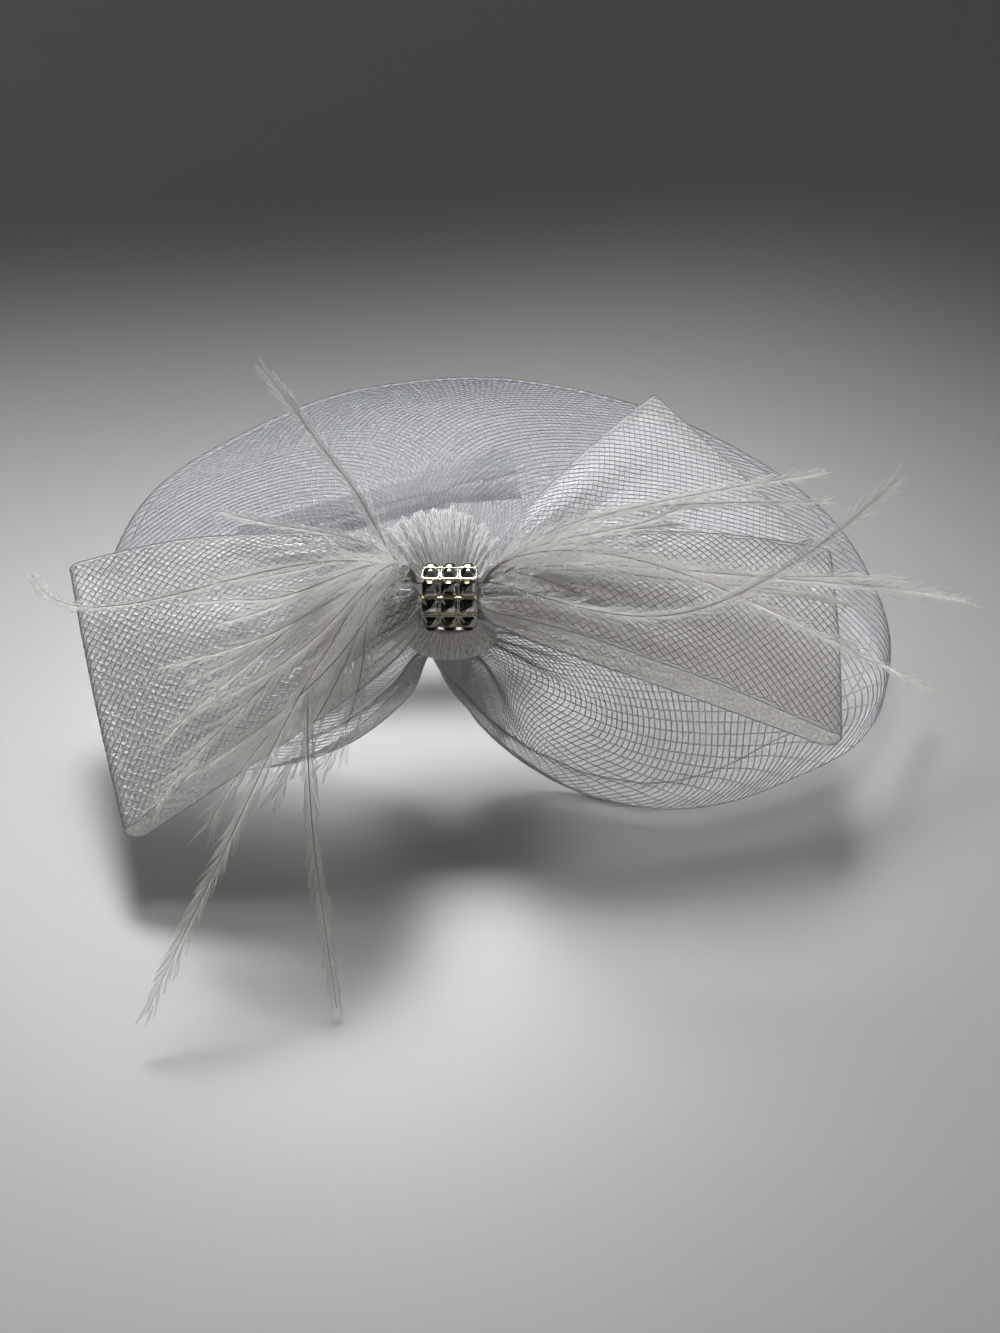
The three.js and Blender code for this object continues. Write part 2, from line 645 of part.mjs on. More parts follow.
const fascinator = new THREE.Group();
const add = (name, geometry, material, parent = fascinator) => {
  const mesh = new THREE.Mesh(geometry, material);
  mesh.name = name;
  parent.add(mesh);
  return mesh;
};
add("crin_body", crinBody(), clothMaterial());
loopRows.forEach((row) => add(row.name, loop(row), clothMaterial()));
add("rhinestone_band", rhinestoneBand(), stoneMaterial()).position.z = knotHeight;
add("feathers_left", feathers("feathers_left", -1), featherMaterial());
add("feathers_right", feathers("feathers_right", 1), featherMaterial());
const clip = new THREE.Group();
clipFrame().decompose(clip.position, clip.quaternion, clip.scale);
fascinator.add(clip);
add("clip_base", clipBase(), clipMaterial(), clip);
add("clip_jaw", clipJaw(), clipMaterial(), clip);
add("clip_pin", clipPin(), clipMaterial(), clip);

// The part's own origin is the middle of its footprint, on the table.
const extent = new THREE.Box3().setFromObject(fascinator, true);
fascinator.position.set(-(extent.min.x + extent.max.x) / 2, -(extent.min.y + extent.max.y) / 2, 0);

export default fascinator;
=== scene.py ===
import bpy
import math
import numpy as np
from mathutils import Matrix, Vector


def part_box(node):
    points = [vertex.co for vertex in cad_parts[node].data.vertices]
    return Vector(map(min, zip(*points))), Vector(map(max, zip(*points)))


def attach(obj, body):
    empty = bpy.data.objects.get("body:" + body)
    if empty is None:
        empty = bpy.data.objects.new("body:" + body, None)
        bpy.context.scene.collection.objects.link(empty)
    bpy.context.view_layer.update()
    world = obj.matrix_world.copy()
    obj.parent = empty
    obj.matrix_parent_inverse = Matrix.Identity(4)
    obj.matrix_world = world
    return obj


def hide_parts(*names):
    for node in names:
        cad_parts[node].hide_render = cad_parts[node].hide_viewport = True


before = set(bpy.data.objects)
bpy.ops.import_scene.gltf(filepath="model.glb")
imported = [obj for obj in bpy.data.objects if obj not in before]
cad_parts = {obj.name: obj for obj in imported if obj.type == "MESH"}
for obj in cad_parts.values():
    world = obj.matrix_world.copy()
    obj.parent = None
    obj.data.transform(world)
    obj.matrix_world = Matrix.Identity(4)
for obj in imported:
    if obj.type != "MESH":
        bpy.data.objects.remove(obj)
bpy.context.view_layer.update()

# The table, the light and the eye. The fascinator lies on a pale smooth table top, lit softly by a
# window behind it and to the left, and is seen from the front, 40 degrees above the table.
ring_low, ring_high = (np.array(corner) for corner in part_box("rhinestone_band"))
knot = (ring_low + ring_high) / 2
ground = np.array([knot[0], knot[1], 0.0])

eye_from_knot = np.array([0.012195, -0.28220, 0.21466])
eye_tilt = 50
camera = bpy.data.objects.new("camera", bpy.data.cameras.new("camera"))
camera.location = knot + eye_from_knot
camera.rotation_euler = (math.radians(eye_tilt), 0, 0)
camera.data.lens = 39.21
camera.data.sensor_width = 36
camera.data.clip_start = 0.01
bpy.context.scene.collection.objects.link(camera)
bpy.context.scene.camera = camera


def new_material(name, color, roughness, **sockets):
    """A material with one Principled shader; sockets are further inputs, named with _ for a space."""
    material = bpy.data.materials.new(name)
    material.use_nodes = True
    shader = material.node_tree.nodes["Principled BSDF"]
    shader.inputs["Base Color"].default_value = (*color, 1)
    shader.inputs["Roughness"].default_value = roughness
    for key, value in sockets.items():
        shader.inputs[key.replace("_", " ")].default_value = value
    return material, shader


def add_node(material, kind, inputs=(), **settings):
    """A node of that kind in the material; inputs gives each socket a value or another node's output."""
    node = material.node_tree.nodes.new(kind)
    for key, value in settings.items():
        setattr(node, key, value)
    for socket, value in dict(inputs).items():
        if isinstance(value, bpy.types.NodeSocket):
            material.node_tree.links.new(value, node.inputs[socket])
        else:
            node.inputs[socket].default_value = value
    return node


def link(material, output, socket):
    material.node_tree.links.new(output, socket)


def patches_group():
    """A node group: noise over the piece, whose full span becomes Least to Most, and the bare noise."""
    group = bpy.data.node_groups.new("soft_patches", "ShaderNodeTree")
    for socket in ("Scale", "Detail", "Least", "Most"):
        group.interface.new_socket(socket, in_out="INPUT", socket_type="NodeSocketFloat")
    for socket in ("Value", "Grain"):
        group.interface.new_socket(socket, in_out="OUTPUT", socket_type="NodeSocketFloat")
    given = group.nodes.new("NodeGroupInput")
    place = group.nodes.new("ShaderNodeTexCoord")
    noise = group.nodes.new("ShaderNodeTexNoise")
    span = group.nodes.new("ShaderNodeMapRange")
    result = group.nodes.new("NodeGroupOutput")
    for output, socket in (
            (place.outputs["Object"], noise.inputs["Vector"]),
            (given.outputs["Scale"], noise.inputs["Scale"]),
            (given.outputs["Detail"], noise.inputs["Detail"]),
            (noise.outputs["Fac"], span.inputs["Value"]),
            (given.outputs["Least"], span.inputs["To Min"]),
            (given.outputs["Most"], span.inputs["To Max"]),
            (span.outputs["Result"], result.inputs["Value"]),
            (noise.outputs["Fac"], result.inputs["Grain"])):
        group.links.new(output, socket)
    return group


soft_patches = patches_group()


def patches(material, scale, detail, least=0.0, most=1.0):
    """The soft patches in a material: its output Value runs from least to most."""
    sockets = {"Scale": scale, "Detail": detail, "Least": least, "Most": most}
    return add_node(material, "ShaderNodeGroup", sockets, node_tree=soft_patches)


def uneven_gloss(material, shader, scale, detail, least, most):
    """A roughness that varies in soft patches."""
    gloss = patches(material, scale, detail, least, most)
    link(material, gloss.outputs["Value"], shader.inputs["Roughness"])


def ramp(material, value, dark, light, start=0.0, end=1.0):
    """The colours from dark, where the value is at start, to light, where it is at end."""
    node = add_node(material, "ShaderNodeValToRGB", {"Fac": value})
    for element, place, tint in zip(node.color_ramp.elements, (start, end), (dark, light)):
        element.position = place
        element.color = (*tint, 1)
    return node.outputs["Color"]


def new_piece(name, points, faces, material):
    """A mesh object from an array of points and a list of arrays of faces, quads and triangles apart."""
    points = np.asarray(points, np.float32).reshape(-1, 3)
    corners = np.concatenate([part.ravel() for part in faces]).astype(np.int32)
    counts = np.concatenate([np.full(len(part), part.shape[1]) for part in faces])
    mesh = bpy.data.meshes.new(name)
    mesh.vertices.add(len(points))
    mesh.vertices.foreach_set("co", points.ravel())
    mesh.loops.add(len(corners))
    mesh.loops.foreach_set("vertex_index", corners)
    mesh.polygons.add(len(counts))
    starts = np.concatenate([[0], np.cumsum(counts)[:-1]])
    mesh.polygons.foreach_set("loop_start", starts.astype(np.int32))
    mesh.update(calc_edges=True)
    mesh.validate()
    mesh.materials.append(material)
    piece = bpy.data.objects.new(name, mesh)
    bpy.context.scene.collection.objects.link(piece)
    return piece


def smooth_shaded(piece):
    piece.data.polygons.foreach_set("use_smooth", np.ones(len(piece.data.polygons), bool))
    return piece


table_reach = 3.0
table_drop = 0.00005
table_paint, table_shader = new_material("table_top", (0.4, 0.396, 0.386), 0.4, Specular_IOR_Level=0.3)
uneven_gloss(table_paint, table_shader, 9, 3, 0.36, 0.46)
table_corners = np.array([[-1, -1, 0], [1, -1, 0], [1, 1, 0], [-1, 1, 0]]) * table_reach
table_top = new_piece("table_top", table_corners - [0, 0, table_drop], [np.array([[0, 1, 2, 3]])],
                      table_paint)


def soft_lamp(name, place, aim, size, power, tint, spread, mirrored=True):
    """An oblong lamp at place, in metres from the knot, that faces aim and shines within spread degrees."""
    lamp = bpy.data.lights.new(name, "AREA")
    lamp.shape = "RECTANGLE"
    lamp.size, lamp.size_y = size
    lamp.energy = power
    lamp.color = tint
    lamp.spread = math.radians(spread)
    holder = bpy.data.objects.new(name, lamp)
    holder.location = knot + np.array(place)
    direction = np.subtract(place, aim)
    heading = math.atan2(direction[1], direction[0]) + math.pi / 2
    tilt = math.atan2(math.hypot(direction[0], direction[1]), direction[2])
    holder.rotation_euler = (tilt, 0, heading)
    holder.visible_glossy = mirrored
    bpy.context.scene.collection.objects.link(holder)


# The window, the sky seen through it, and the pale walls in front, which give back a weak warm light.
soft_lamp("window_lamp", (-0.16, 0.64, 0.72), (-0.08, 0.01, 0), (0.58, 0.26), 0.8, (0.985, 0.985, 1.0), 26)
soft_lamp("sky_lamp", (-0.9, 1.5, 0.7), (0, 0, 0), (0.8, 0.8), 1.0, (0.66, 0.80, 1.0), 120, False)
soft_lamp("room_lamp", (0.35, -1.1, 0.26), (0.03, 0, 0.05), (1.2, 0.4), 3.4, (1.0, 0.94, 0.85), 180, False)
room = bpy.data.worlds.new("room")
bpy.context.scene.world = room
room.use_nodes = True
room_shade = room.node_tree.nodes["Background"]
room_place = room.node_tree.nodes.new("ShaderNodeTexCoord")
room_split = room.node_tree.nodes.new("ShaderNodeSeparateXYZ")
room_ramp = room.node_tree.nodes.new("ShaderNodeMapRange")
room_ramp.inputs["From Min"].default_value = -0.9
room_ramp.inputs["From Max"].default_value = 0.9
room_ramp.inputs["To Min"].default_value = 0.07
room_ramp.inputs["To Max"].default_value = 0.1
room.node_tree.links.new(room_place.outputs["Generated"], room_split.inputs["Vector"])
room.node_tree.links.new(room_split.outputs["Y"], room_ramp.inputs["Value"])
room.node_tree.links.new(room_ramp.outputs["Result"], room_shade.inputs["Strength"])
room_shade.inputs["Color"].default_value = (1.0, 0.95, 0.87, 1)
bpy.context.scene.view_settings.view_transform = "Standard"

# The dome. A wide strip of stiff white crinoline, a see-through diagonal mesh of nylon threads, is
# drawn together on one edge under the ring, so that it spreads into a hollow dome with a notch at its
# front, and its outer edge is turned under where it lies on the table.
mm = 0.001
knot_height = knot[2] / mm
ring_outer = (ring_high[2] - ring_low[2]) / 2 / mm
clearance = 0.3
body_reach = 130
body_wall = 1.2
body_puff = 16
shoulder_height = 14
shoulder_radius = 7
turned_edge = 6
gather_depth = 1.3
gather_count = 12
gather_reach = 62
pinch_height = knot_height - ring_outer - 2 * clearance - body_wall / 2
# Fine gathers at the ring: their number, depth and how far out they run.
draw_count = 44
draw_depth = 0.75
draw_reach = 46
# Each row: bearing in degrees, then reach, shoulder, foot and puff as shares of the sizes above.
body_rows = np.array([
    (-134, 0.06, 0.05, 0.86, 0), (-112, 0.055, 0.1, 0.76, 0), (-71, 0.088, 0.25, 0.54, 0.05),
    (-53, 0.137, 0.35, 0.36, 0.1), (-44, 0.18, 0.4, 0.24, 0.2), (-36.6, 0.236, 0.45, 0.11, 0.15),
    (-31, 0.33, 0.5, 0, 0.15), (-26, 0.455, 0.55, 0, 0.12), (-18.7, 0.567, 0.7, 0, 0.1),
    (-10, 0.68, 0.9, 0, 0.1), (-1, 0.82, 1, 0, 0.1), (8, 0.91, 1.1, 0, 0.1), (20, 0.98, 1.3, 0, 0.1),
    (35, 1.02, 1.8, 0, 0.15), (52, 1.01, 2.3, 0, 0.35), (70, 1.01, 2.6, 0, 0.75), (88, 1.02, 2.7, 0, 1),
    (106, 0.99, 2.7, 0, 1), (123, 0.96, 2.4, 0, 0.8), (139, 0.93, 2.1, 0, 0.45), (153, 0.86, 1.6, 0, 0.2),
    (167, 0.76, 1.2, 0, 0.1), (180, 0.64, 0.9, 0, 0.1), (191, 0.49, 0.7, 0, 0.12),
    (194, 0.355, 0.5, 0.04, 0.12), (197, 0.237, 0.45, 0.2, 0.15), (203, 0.125, 0.35, 0.54, 0.05),
    (212, 0.085, 0.15, 0.8, 0),
])
body_around = 18
top_steps = 30


def through(table, place, turn):
    """The table's value at places counted in rows, on a curve through the rows that stays between each
    two neighbours. The table goes round, and gains turn each time."""
    here = np.floor(place).astype(int)
    t = place - here
    count = len(table)
    a, b, c, d = (table[(here + k) % count] + turn * ((here + k) // count) for k in (-1, 0, 1, 2))
    curve = b + 0.5 * t * (c - a + t * (2 * a - 5 * b + 4 * c - d + t * (3 * (b - c) + d - a)))
    return np.clip(curve, np.minimum(b, c), np.maximum(b, c))


def mix(a, b, t):
    return a + (b - a) * t


def ease(t):
    t = np.clip(t, 0, 1)
    return t * t * (3 - 2 * t)


def body_surface():
    """The dome's middle surface as rays by stations, in millimetres from below the knot. Along a ray the
    height falls from the pinch to the shoulder by a power of the way out, plus a half wave of puff and the
    cosine gathers that fade outwards; then a quarter round, the wall, and the edge turned inwards."""
    place = np.arange(len(body_rows) * body_around) / body_around
    bearing = np.radians(through(body_rows[:, 0], place, 360))[:, None]
    reach, shoulder, foot, puff = (through(body_rows[:, k], place, 0)[:, None] for k in (1, 2, 3, 4))
    reach = reach * body_reach
    foot = pinch_height * foot + body_wall / 2
    shoulder = foot + shoulder_height * shoulder
    corner = np.minimum(np.minimum(shoulder_radius, (shoulder - foot) / 2), reach / 4)
    t = np.linspace(0.05, 1, top_steps)[None, :]
    out = (reach - corner) * t
    away = ease((out - ring_outer) / ring_outer)
    fade = np.clip(1 - out / gather_reach, 0, 1) ** 1.5 * away
    wave = gather_depth * fade * np.cos(bearing * gather_count)
    near = np.clip(1 - out / draw_reach, 0, 1) ** 0.8 * away
    wave = wave + draw_depth * near * np.cos(bearing * draw_count + np.sin(bearing * 7))
    free = np.clip((out - ring_outer) / np.maximum(reach - corner - ring_outer, 1e-6), 0, 1)
    rise = puff * body_puff * np.sin(np.pi * free ** 0.85)
    height = mix(pinch_height, shoulder, t ** mix(1.3, 2.3, puff)) + rise + wave
    turn = np.radians([18, 36, 54, 72, 90])[None, :]
    corner_out = reach - corner + corner * np.sin(turn)
    corner_height = shoulder - corner + corner * np.cos(turn)
    waist = np.array([0.66, 0.33])[None, :]
    hem = np.minimum(turned_edge, reach * 0.35)
    round_edge = hem * 0.15
    wall_height = mix(foot + round_edge, shoulder - corner, waist)
    edge_out = np.concatenate([reach, reach - round_edge * 0.3, reach - round_edge,
                               reach - hem * 0.5, reach - hem], 1)
    edge_height = np.concatenate([foot + round_edge, foot + round_edge * 0.3, foot, foot, foot], 1)
    out = np.concatenate([out, corner_out, reach + 0 * waist, edge_out], 1)
    height = np.concatenate([height, corner_height, wall_height, edge_height], 1)
    return np.stack([out * np.cos(bearing), out * np.sin(bearing), height], -1), bearing[:, 0]


def grid_faces(rows, columns, closed=False):
    """Quads between neighbouring points of a grid; closed joins its last row to the first."""
    i = np.arange(rows if closed else rows - 1)[:, None]
    j = np.arange(columns - 1)[None, :]
    a, b = i * columns + j, ((i + 1) % rows) * columns + j
    return np.stack([a, b, b + 1, a + 1], -1).reshape(-1, 4)


def grid_normals(grid, closed=False):
    """The unit normals of a grid of points, from the cross product of its two differences."""
    if closed:
        along = np.roll(grid, -1, 0) - np.roll(grid, 1, 0)
    else:
        along = np.gradient(grid, axis=0)
    normal = np.cross(along, np.gradient(grid, axis=1))
    return normal / np.maximum(np.linalg.norm(normal, axis=-1, keepdims=True), 1e-12)


def tubes(paths, radius, normals, sides=3):
    """Thin tubes along many paths at once: each corner is the path's point plus the radius times the
    cosine and sine of its turn along the normal and the direction square to it. Both ends are capped."""
    paths = np.asarray(paths, float)
    count, steps = paths.shape[:2]
    forward = np.gradient(paths, axis=1)
    forward /= np.maximum(np.linalg.norm(forward, axis=-1, keepdims=True), 1e-12)
    across = np.cross(forward, normals)
    across /= np.maximum(np.linalg.norm(across, axis=-1, keepdims=True), 1e-12)
    up = np.cross(across, forward)
    turn = 2 * np.pi * np.arange(sides) / sides + np.pi / 2
    radius = np.broadcast_to(np.asarray(radius, float), (count, steps))[..., None, None]
    ring = np.cos(turn)[:, None] * across[..., None, :] + np.sin(turn)[:, None] * up[..., None, :]
    points = paths[..., None, :] + radius * ring
    first = (np.arange(count)[:, None, None] * steps + np.arange(steps - 1)[None, :, None]) * sides
    k = np.arange(sides)[None, None, :]
    a, b = first + k, first + (k + 1) % sides
    quads = np.stack([a, b, b + sides, a + sides], -1).reshape(-1, 4)
    start = np.arange(count)[:, None] * steps * sides
    order = np.arange(sides)[None, :]
    caps = np.concatenate([start + order[:, ::-1], start + (steps - 1) * sides + order])
    return points.reshape(-1, 3), [quads, caps]


def at_row(grid, row):
    """The grid's values at fractional rows that go round, one row for each thread, at all columns."""
    here = np.floor(row).astype(int)
    part = (row - here).reshape(-1, *([1] * (grid.ndim - 1)))
    count = len(grid)
    return grid[here % count] * (1 - part) + grid[(here + 1) % count] * part


def body_threads(grid, bearing, lay):
    """The threads of one lay. Each starts at the pinch and turns by the length it has gone along the rays,
    divided by mesh_radius, so that the diamonds close up towards the ring as the drawn cloth does."""
    steps = np.linalg.norm(np.diff(grid, axis=1), axis=-1)
    turns = np.append(bearing, bearing[0] + 2 * np.pi)
    rows = np.arange(len(turns))
    angle = bearing[0] + 2 * np.pi * np.arange(body_thread_count) / body_thread_count
    paths, ways = [], []
    normals = grid_normals(grid, True)
    for station in range(grid.shape[1]):
        row = np.interp((angle - bearing[0]) % (2 * np.pi) + bearing[0], turns, rows)
        paths.append(at_row(grid[:, station], row))
        ways.append(at_row(normals[:, station], row))
        if station < steps.shape[1]:
            angle = angle + lay * at_row(steps[:, station], row) / mesh_radius
    return np.stack(paths, 1), np.stack(ways, 1)


body_thread_count = 230
mesh_radius = 100
body_thread_radius = 0.15
body_film_depth = 0.12
selvedge_radius = 0.17
# The film's relief, in metres, and a lay's height off the cloth as a share of the thread's radius.
fibre_relief = 0.0009
lay_share = 0.3
body_grid, body_bearing = body_surface()


def lighter_shadow(material, value, share):
    """A transparency value that shadow rays see as only a share of itself, as thin nylon shades little."""
    ray = add_node(material, "ShaderNodeLightPath").outputs["Is Shadow Ray"]
    kept = add_node(material, "ShaderNodeMapRange", {"Value": ray, "To Min": 1.0, "To Max": share})
    lighter = add_node(material, "ShaderNodeMath", {0: value, 1: kept.outputs["Result"]},
                       operation="MULTIPLY")
    return lighter.outputs[0]


def crinoline_film(name, tint, least, most, shadow, silk, through):
    """The milky haze between the threads, cloudier in soft patches. Part of it shows the light that falls
    on it and part the light that comes through."""
    film, shader = new_material(name, tint, 0.6, Metallic=silk)
    cloud = patches(film, 60, 4, least, most)
    haze = lighter_shadow(film, cloud.outputs["Value"], shadow)
    fibre = patches(film, 1100, 2)
    relief = add_node(film, "ShaderNodeBump",
                      {"Height": fibre.outputs["Grain"], "Strength": 1.0, "Distance": fibre_relief})
    link(film, relief.outputs["Normal"], shader.inputs["Normal"])
    glow = add_node(film, "ShaderNodeBsdfTranslucent", {"Color": (*tint, 1)})
    clear = add_node(film, "ShaderNodeBsdfTransparent")
    both = add_node(film, "ShaderNodeMixShader", {0: through, 1: shader.outputs[0], 2: glow.outputs[0]})
    veil = add_node(film, "ShaderNodeMixShader", {0: haze, 1: clear.outputs[0], 2: both.outputs[0]})
    link(film, veil.outputs[0], film.node_tree.nodes["Material Output"].inputs["Surface"])
    return film


def nylon_thread(name, tint, shadow):
    """Nylon thread: glossy, with a fine unevenness in its gloss, and shading less than a solid would."""
    nylon, shader = new_material(name, tint, 0.32)
    uneven_gloss(nylon, shader, 900, 2, 0.2, 0.38)
    solid = add_node(nylon, "ShaderNodeValue")
    solid.outputs[0].default_value = 1.0
    link(nylon, lighter_shadow(nylon, solid.outputs[0], shadow), shader.inputs["Alpha"])
    return nylon


# The dome's film carries a faint blue tint that is painted cool light from the sky behind the window.
body_haze = crinoline_film("body_film", (0.97, 0.98, 1.0), 0.28, 0.4, 0.08, 0.1, 0.35)
gather_haze = crinoline_film("gathered_film", (0.74, 0.74, 0.73), 0.4, 0.6, 0.3, 0.0, 0.4)
# The loop films are lit and shaded copies of one crinoline: the back loop's is painted grey as painted shade
# where it faces the window lamp, and the right loop's is painted whitest as painted light where it lies in
# shade.
loop_haze = {
    "loop_left": crinoline_film("left_loop_film", (0.96, 0.96, 0.955), 0.62, 0.74, 1.0, 0.3, 0.15),
    "loop_right": crinoline_film("right_loop_film", (1.0, 0.99, 0.975), 0.5, 0.6, 0.3, 0.0, 0.12),
    "loop_back": crinoline_film("back_loop_film", (0.8, 0.81, 0.825), 0.5, 0.62, 0.1, 0.3, 0.15),
}
# The dome's threads and the selvedges carry a blue tint that is painted cool sky light.
body_nylon = nylon_thread("body_nylon", (0.34, 0.355, 0.39), 0.1)
white_nylon = nylon_thread("white_nylon", (0.72, 0.72, 0.71), 0.5)
loop_nylon = nylon_thread("clear_nylon", (0.3, 0.3, 0.3), 0.5)
back_nylon = nylon_thread("back_clear_nylon", (0.3, 0.3, 0.3), 0.1)
body_outward = grid_normals(body_grid, True)
body_outward *= np.sign(body_outward[:, :top_steps, 2].mean())
body_inset = body_grid - body_outward * body_film_depth
body_film = smooth_shaded(new_piece("crin_body_cloth", body_inset * mm + ground,
                                    [grid_faces(*body_grid.shape[:2], True)], body_haze))
body_pieces = []
for lay_name, lay in (("left", 1), ("right", -1)):
    paths, normals = body_threads(body_grid, body_bearing, lay)
    lifted = paths + normals * body_thread_radius * lay_share * lay
    points, faces = tubes(lifted, body_thread_radius, normals)
    body_pieces.append(new_piece("crin_body_threads_" + lay_name, points * mm + ground, faces, body_nylon))
# The selvedge: a thicker thread along the cut edge and along the turned fold.
edge_paths = np.stack([np.concatenate([body_grid[:, station], body_grid[:1, station]])
                       for station in (-1, -4, top_steps - 1)])
edge_normals = np.zeros_like(edge_paths) + [0, 0, 1]
points, faces = tubes(edge_paths, selvedge_radius, edge_normals, 5)
body_pieces.append(new_piece("crin_body_selvedge", points * mm + ground, faces, body_nylon))


def roof_height(angle, reach):
    """The roof's height at bearings and reaches, read from the rays of the dome's middle surface."""
    rays = np.interp(angle, body_bearing, np.arange(len(body_bearing)))
    roof = at_row(body_grid[:, :top_steps], rays)
    out = np.hypot(roof[..., 0], roof[..., 1])
    return np.stack([np.interp(*ray) for ray in zip(reach, out, roof[..., 2])])


def gathered_heading():
    """The drawn cloth's heading, a fan behind the ring: it lies on the roof, lifted by a half wave, and
    cosine pleats with uneven depth run outwards along it."""
    angle = np.radians(np.linspace(*heading_bearings, heading_pleats * 8 + 1))[:, None]
    spread = (angle - angle[0]) / (angle[-1] - angle[0])
    s = np.linspace(0, 1, 16)[None, :]
    reach = mix(heading_start, heading_reach * (0.7 + 0.3 * np.sin(np.pi * spread)), s)
    reach = reach + heading_fray * s * np.sin(angle * 61) * np.sin(angle * 17)
    pleat = np.cos(2 * np.pi * heading_pleats * spread + 1.3 * np.sin(9 * angle))
    depth = heading_depth * np.sin(np.pi * np.clip(s, 0.06, 1) ** 0.7) * (0.75 + 0.25 * np.sin(23 * angle))
    ripple = heading_ripple * np.sin(26 * s + 5 * np.sin(7 * angle)) * s
    height = roof_height(angle[:, 0], reach) + heading_lift + heading_rise * np.sin(np.pi * s ** 0.8)
    height = height + pleat * depth + ripple
    return np.stack([reach * np.cos(angle), reach * np.sin(angle), height], -1)


def heading_threads(grid):
    """Threads that run along the pleats, four to a pleat, and two lays that lean to either side."""
    count = len(grid)
    column = np.arange(grid.shape[1])[None, :]
    normals = grid_normals(grid)
    parts = []
    for lean, first in ((0.0, 0), (heading_lean, 0), (-heading_lean, heading_margin)):
        row = np.arange(first, count - heading_margin, 2 if lean == 0 else 5)[:, None] + lean * column
        here = np.clip(row.astype(int), 0, count - 2)
        part = (row - here)[..., None]
        parts.append(tubes(grid[here, column] * (1 - part) + grid[here + 1, column] * part,
                           heading_thread_radius, normals[here, column]))
    return parts


heading_bearings = (42, 160)
heading_pleats = 26
heading_start = 5.5
heading_reach = 33
heading_fray = 0.9
heading_depth = 1.5
heading_ripple = 0.35
heading_lift = 0.9
heading_rise = 2.6
heading_thread_radius = 0.12
# How many rows a leaning thread crosses from one column to the next, and in all.
heading_lean = 1.3
heading_margin = 20
neck_bearings = (-172, -8)
neck_pleats = 22
neck_waves = 48.4
neck_spread = 1.25
neck_reach = 5.0
neck_bulge = 4.3
neck_pleat_depth = 0.45
neck_top = 3.2
neck_fall = 8.0


def gathered_neck():
    """The cloth squeezed out under the front of the ring: its reach swells by most of a half wave while its
    height falls evenly. It is wider across than deep, with cosine pleats that run down it."""
    angle = np.radians(np.linspace(*neck_bearings, neck_pleats * 8 + 1))[:, None]
    s = np.linspace(0, 1, 12)[None, :]
    pleat = neck_pleat_depth * np.cos(neck_waves * angle) * np.sin(np.pi * s)
    reach = neck_reach + neck_bulge * np.sin(np.pi * (0.04 + 0.8 * s)) + pleat
    height = pinch_height + neck_top - neck_fall * s
    return np.stack([neck_spread * reach * np.cos(angle), reach * np.sin(angle), height + 0 * angle], -1)


def joined(parts):
    """Several meshes, each of points and equally many arrays of faces, as one."""
    shift = np.cumsum([0] + [len(points) for points, _ in parts[:-1]])
    kinds = range(len(parts[0][1]))
    faces = [np.concatenate([part[k] + move for (_, part), move in zip(parts, shift)]) for k in kinds]
    return np.concatenate([points for points, _ in parts]), faces


gathers = [gathered_heading(), gathered_neck()]
points, faces = joined([(grid.reshape(-1, 3), [grid_faces(*grid.shape[:2])]) for grid in gathers])
body_pieces.append(smooth_shaded(new_piece("crin_body_heading", points * mm + ground, faces, gather_haze)))
points, faces = joined([part for grid in gathers for part in heading_threads(grid)])
body_pieces.append(new_piece("crin_body_heading_threads", points * mm + ground, faces, white_nylon))
for piece in body_pieces + [body_film]:
    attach(piece, "fascinator")
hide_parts("crin_body")

# The three loops. Each is a length of stiff crinoline folded over at its outer end, with both ends
# gathered and pushed into the ring, so that an upper and a lower layer show through each other.
loop_reach = 100
loop_fold_radius = 3.5
loop_belly = 6
loop_crown = 7
loop_droop = 2
pleat_depth = 1.1
fine_depth = 1.0
ring_half = (ring_high[0] - ring_low[0]) / 2 / mm
ring_inner = 6.125
loop_wall = 0.9
loop_rows = {
    "loop_left": {"side": -1, "width": 76, "back": (166, 1, 0.83), "front": (213, 0.865, 0.35),
                  "slots": (0.33, -0.3), "belly": 0.6, "crown": 0.86, "droop": 1},
    "loop_right": {"side": 1, "width": 51, "back": (14.5, 0.98, 0.92), "front": (-15, 0.95, 0.52),
                   "slots": (0.33, 0.02), "belly": 0.5, "crown": 1, "droop": 1},
    "loop_back": {"side": 1, "width": 60, "back": (57.5, 1.02, 1.08), "front": (24, 1.04, 0.68),
                  "slots": (-0.36, -0.6), "belly": 0.15, "crown": 0.29, "droop": 0},
}
layer_steps = 44
fold_steps = 9
loop_across = 65


def loop_corners(row):
    """The fold's back and front corners from their bearing, reach and height."""
    corners = np.array([row["back"], row["front"]], float)
    angle = np.radians(corners[:, 0])
    reach = loop_reach * corners[:, 1]
    return np.stack([reach * np.cos(angle), reach * np.sin(angle), knot_height * corners[:, 2]], -1)


